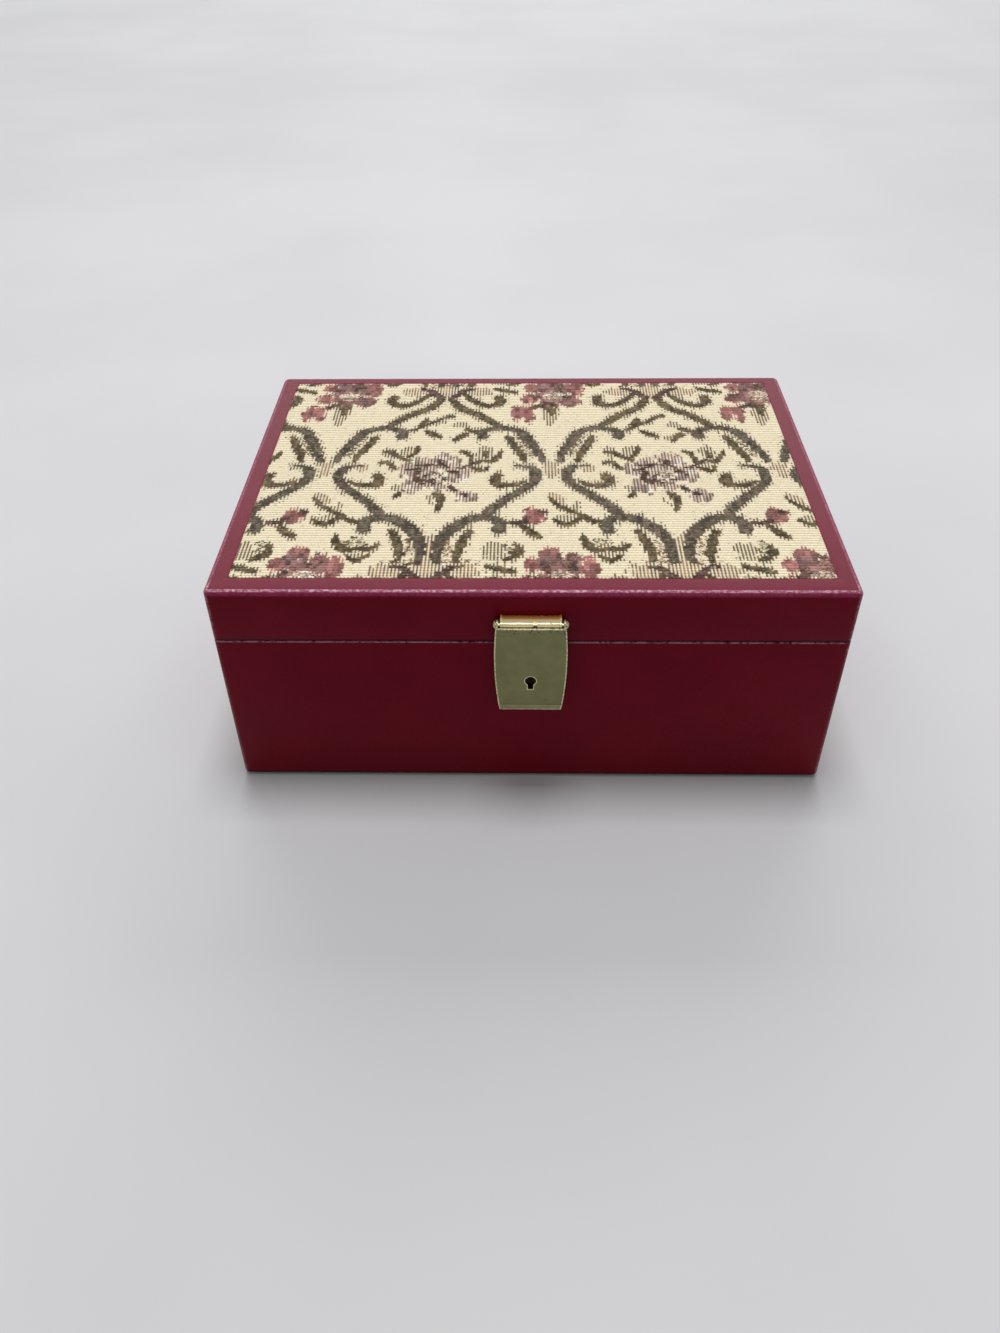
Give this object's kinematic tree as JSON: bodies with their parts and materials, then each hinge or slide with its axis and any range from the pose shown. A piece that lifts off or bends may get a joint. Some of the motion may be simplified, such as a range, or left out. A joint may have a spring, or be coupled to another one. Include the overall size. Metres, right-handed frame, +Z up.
{
  "type": "sewing machine attachment box",
  "caption": "Leatherette-covered wooden box with a tapestry panel in its hinged lid, a brass hasp lock on the front and a lift-out tray.",
  "frame": {"origin": "centre of the underside of the pad that the box stands on", "axes": "+X to the right along the longest side, +Y to the back with the hinges, +Z up; the lock is at -Y"},
  "size_m": [0.23, 0.1814, 0.0916],
  "materials": {
    "leatherette": "embossed grain, satin",
    "tapestry": "woven, matt",
    "wadding": "matt",
    "satin": "soft sheen",
    "velvet": "short pile",
    "base_cloth": "matt",
    "wood": "bare",
    "tray_card": "matt",
    "hasp_brass": "worn plating, satin",
    "bracket_brass": "worn plating, bright",
    "lock_brass": "satin",
    "hinge_brass": "satin",
    "spring_steel": "satin"
  },
  "bodies": {
    "case": {"foot_pad": "base_cloth", "bottom_board": "wood", "front_board": "wood", "back_board": "wood", "left_board": "wood", "right_board": "wood", "body_leatherette": "leatherette", "floor_pad": "velvet", "front_liner": "velvet", "back_liner": "velvet", "end_liners": "velvet", "tray_ledges": "velvet", "hinge_body_leaves": "hinge_brass", "hinge_pins": "hinge_brass", "hinge_body_nails": "hinge_brass", "keeper_plate": "lock_brass", "keeper_nails": "lock_brass"},
    "lid": {"lid_front_rim": "wood", "lid_back_rim": "wood", "lid_left_rim": "wood", "lid_right_rim": "wood", "lid_top_board": "wood", "lid_leatherette": "leatherette", "tapestry_wadding": "wadding", "tapestry_panel": "tapestry", "lid_satin_pad": "satin", "hinge_lid_leaves": "hinge_brass", "hinge_lid_nails": "hinge_brass", "lid_bracket": "bracket_brass", "bracket_rivets": "bracket_brass"},
    "hasp": {"hasp_plate": "hasp_brass", "hasp_pin": "bracket_brass", "lock_case": "lock_brass", "case_posts": "lock_brass", "key_post": "lock_brass", "bolt_guide": "lock_brass", "bolt_spring": "spring_steel"},
    "bolt": {"lock_bolt": "lock_brass"},
    "tray": {"tray_base": "tray_card", "tray_long_walls": "velvet", "tray_end_walls": "velvet", "tray_long_divider": "velvet", "tray_cross_dividers": "velvet", "tray_velvet": "velvet"}
  },
  "joints": [
    {"name": "lid_hinge", "type": "hinge", "parent": "case", "child": "lid", "pos_m": [0, 0.0866, 0.0695], "axis": [-1, 0, 0], "range_deg": [0, 95]},
    {"name": "hasp_hinge", "type": "hinge", "parent": "lid", "child": "hasp", "pos_m": [0, -0.0887, 0.0806], "axis": [-1, 0, 0], "range_deg": [0, 105]},
    {"name": "bolt_slide", "type": "slide", "parent": "hasp", "child": "bolt", "axis": [-1, 0, 0], "range_m": [0, 0.004]},
    {"name": "tray_lift", "type": "slide", "parent": "case", "child": "tray", "axis": [0, 0, 1], "range_m": [0, 0.012]}
  ]
}
